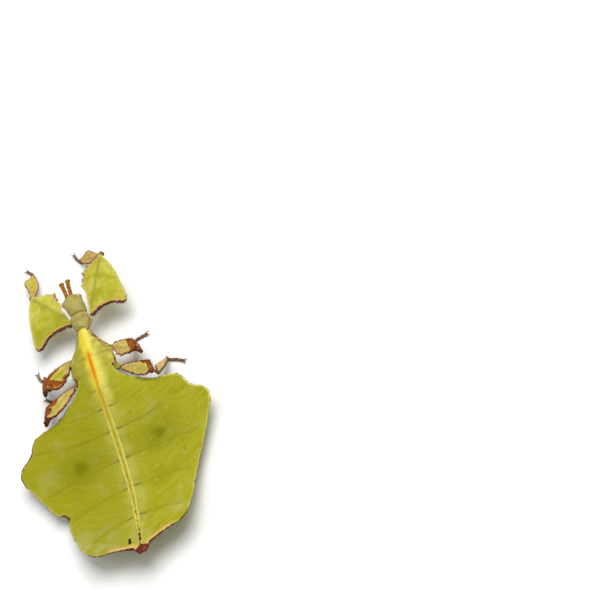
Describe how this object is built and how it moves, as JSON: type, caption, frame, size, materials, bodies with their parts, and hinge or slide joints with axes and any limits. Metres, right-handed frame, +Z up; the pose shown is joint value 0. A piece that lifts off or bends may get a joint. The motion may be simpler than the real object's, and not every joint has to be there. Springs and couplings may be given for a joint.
{
  "type": "leaf insect",
  "caption": "Leaf insect nymph in a standing pose: broad leaf-shaped abdomen, lobed legs, small head and short feelers.",
  "frame": {"origin": "on the floor, under the flat of the belly on the midline", "axes": "+Y towards the head, +X to the insect's right, +Z up"},
  "size_m": [0.045, 0.0885, 0.0092],
  "materials": {
    "leaf_cuticle": "satin yellow-green leaf-like cuticle with darker mottling",
    "pale_cuticle": "granular pale grey-green cuticle",
    "thorax_cuticle": "yellow-green cuticle with an orange midline",
    "rust_cuticle": "rust-brown cuticle fading to yellow",
    "dark_cuticle": "dark brown cuticle",
    "maroon_cuticle": "maroon-brown cuticle",
    "eye": "shiny brown compound eye"
  },
  "bodies": {
    "root": {"abdomen": "leaf_cuticle", "antenna_left": "rust_cuticle", "antenna_right": "rust_cuticle", "coxa_fore_left": "thorax_cuticle", "coxa_fore_right": "thorax_cuticle", "coxa_hind_left": "thorax_cuticle", "coxa_hind_right": "thorax_cuticle", "coxa_mid_left": "thorax_cuticle", "coxa_mid_right": "thorax_cuticle", "eye_left": "eye", "eye_right": "eye", "femur_fore_left": "leaf_cuticle", "femur_fore_right": "leaf_cuticle", "femur_hind_left": "leaf_cuticle", "femur_hind_right": "leaf_cuticle", "femur_mid_left": "leaf_cuticle", "femur_mid_right": "leaf_cuticle", "head": "pale_cuticle", "mesothorax": "thorax_cuticle", "metathorax": "thorax_cuticle", "prothorax": "pale_cuticle", "tail_tip": "maroon_cuticle", "tarsus_fore_left": "dark_cuticle", "tarsus_fore_right": "dark_cuticle", "tarsus_hind_left": "dark_cuticle", "tarsus_hind_right": "dark_cuticle", "tarsus_mid_left": "dark_cuticle", "tarsus_mid_right": "dark_cuticle", "tibia_fore_left": "rust_cuticle", "tibia_fore_right": "rust_cuticle", "tibia_hind_left": "rust_cuticle", "tibia_hind_right": "rust_cuticle", "tibia_mid_left": "rust_cuticle", "tibia_mid_right": "rust_cuticle"}
  },
  "joints": []
}
